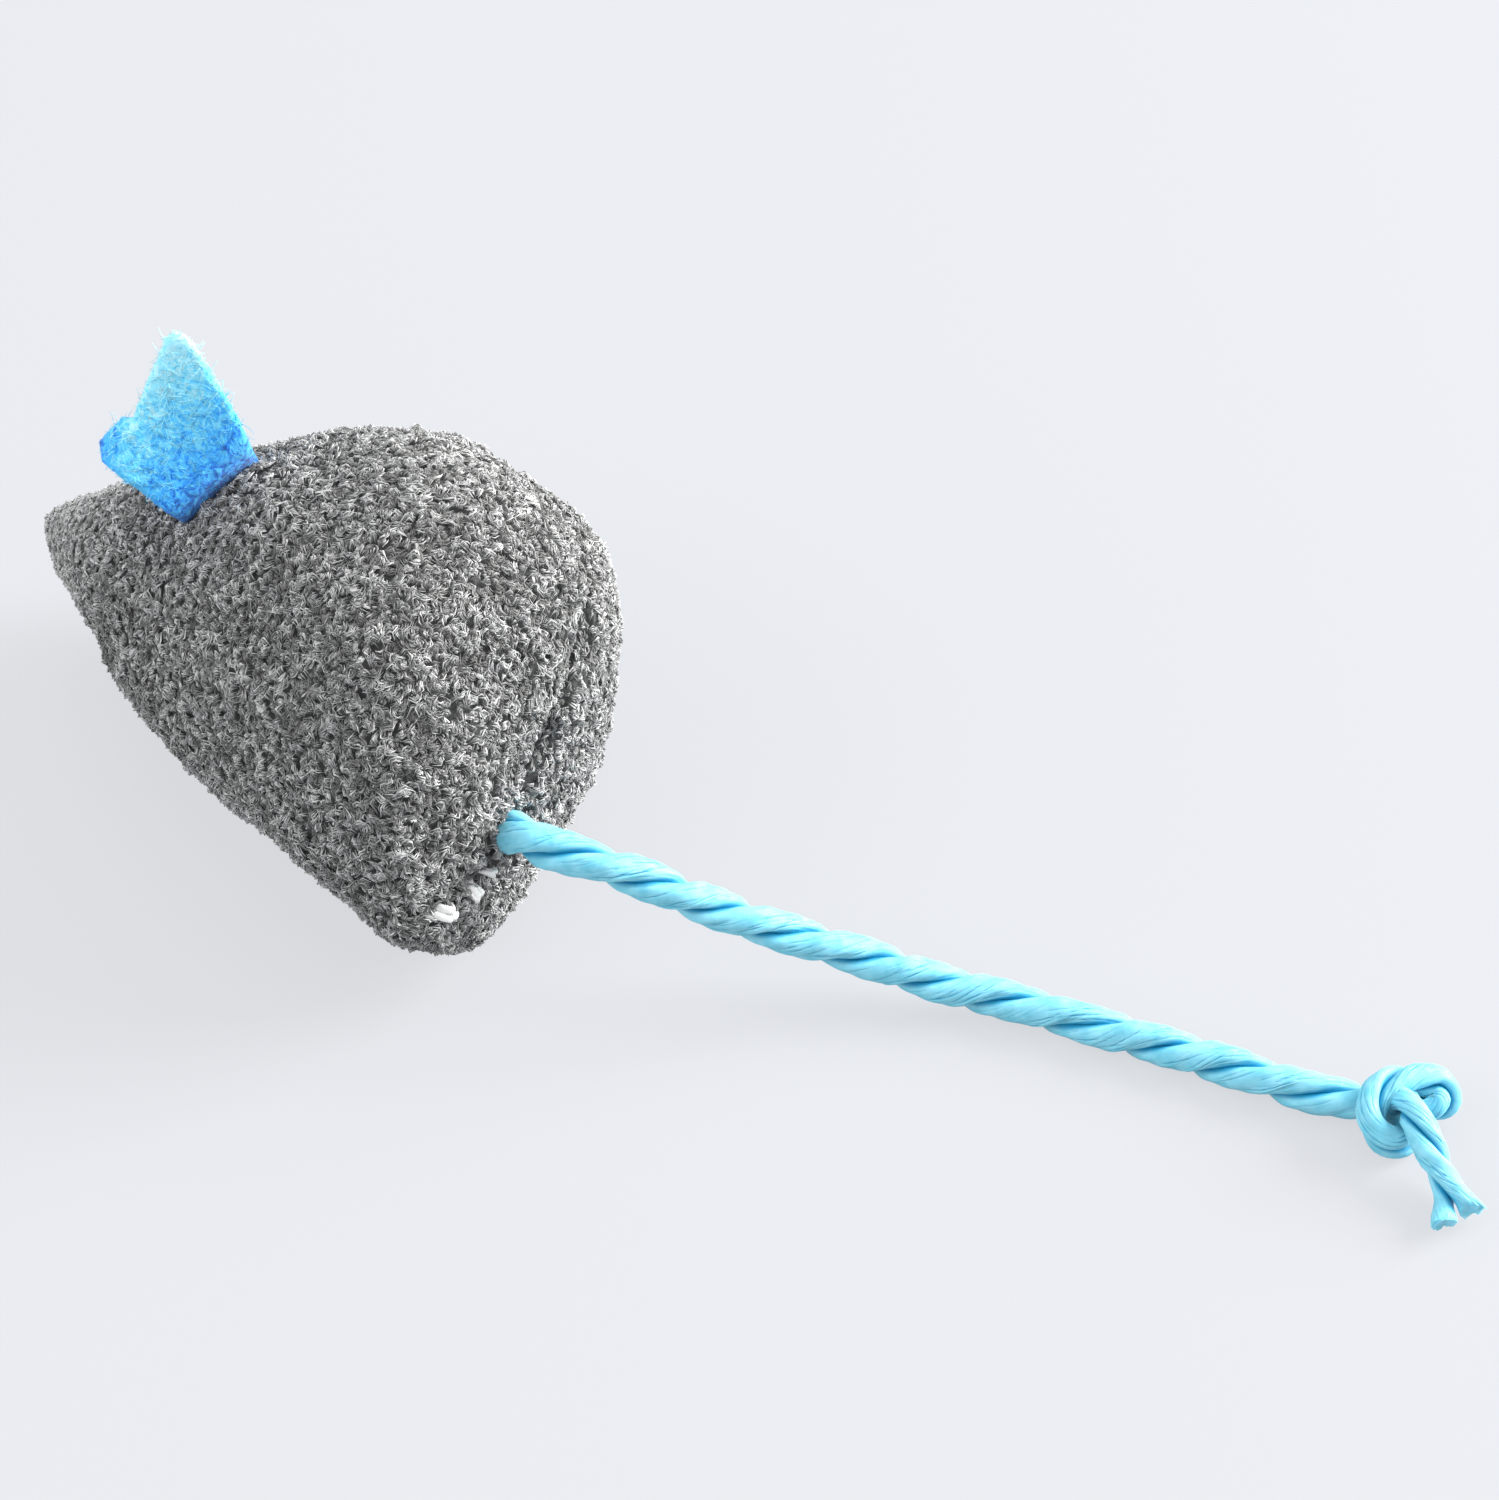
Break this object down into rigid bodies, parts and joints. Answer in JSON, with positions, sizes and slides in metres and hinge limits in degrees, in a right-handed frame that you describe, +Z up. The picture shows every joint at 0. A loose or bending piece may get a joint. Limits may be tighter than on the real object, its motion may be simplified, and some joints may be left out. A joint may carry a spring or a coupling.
{
  "type": "catnip mouse",
  "caption": "Stuffed cat toy shaped like a mouse: a looped terry body lying on its side, felt ears that bend and a knotted twisted paper-cord tail, filled with fibre and catnip.",
  "frame": {"origin": "middle of the flat patch on the right belly that the toy rests on, at floor level", "axes": "+X from the nose towards the tail, +Y from the belly towards the back, +Z up from the floor"},
  "size_m": [0.1495, 0.0515, 0.0455],
  "materials": {
    "terry": "matte looped pile",
    "felt": "matte fuzzy felt",
    "paper_cord": "creased twisted paper",
    "thread": "soft sewing thread",
    "fibre": "loose fibre",
    "dried_leaf": "crumbled dried leaf"
  },
  "bodies": {
    "body": {"left_panel": "terry", "right_panel": "terry", "seam_thread": "thread", "fibre_filling": "fibre", "catnip_wad": "dried_leaf", "tail_root": "paper_cord", "closing_stitch_1": "thread", "closing_stitch_2": "thread", "closing_stitch_3": "thread", "left_ear_root": "felt", "right_ear_root": "felt"},
    "left_ear": {"left_ear": "felt"},
    "right_ear": {"right_ear": "felt"},
    "tail": {"tail_cord": "paper_cord", "tail_knot": "paper_cord", "tail_end": "paper_cord"}
  },
  "joints": [
    {"name": "left_ear_flex", "type": "hinge", "parent": "body", "child": "left_ear", "pos_m": [-0.01604, -0.00427, 0.03035], "axis": [0.3912, 0.8044, 0.4471], "range_deg": [-35, 35], "stiffness_Nm_per_rad": 0.0005},
    {"name": "right_ear_flex", "type": "hinge", "parent": "body", "child": "right_ear", "pos_m": [-0.01146, 0.01552, 0.00515], "axis": [0.3348, 0.5608, 0.7573], "range_deg": [-35, 35], "stiffness_Nm_per_rad": 0.0005},
    {"name": "tail_swing", "type": "hinge", "parent": "body", "child": "tail", "pos_m": [0.0264, -0.00528, 0.01649], "axis": [0, 0, 1], "range_deg": [-35, 35], "stiffness_Nm_per_rad": 0.0002}
  ]
}
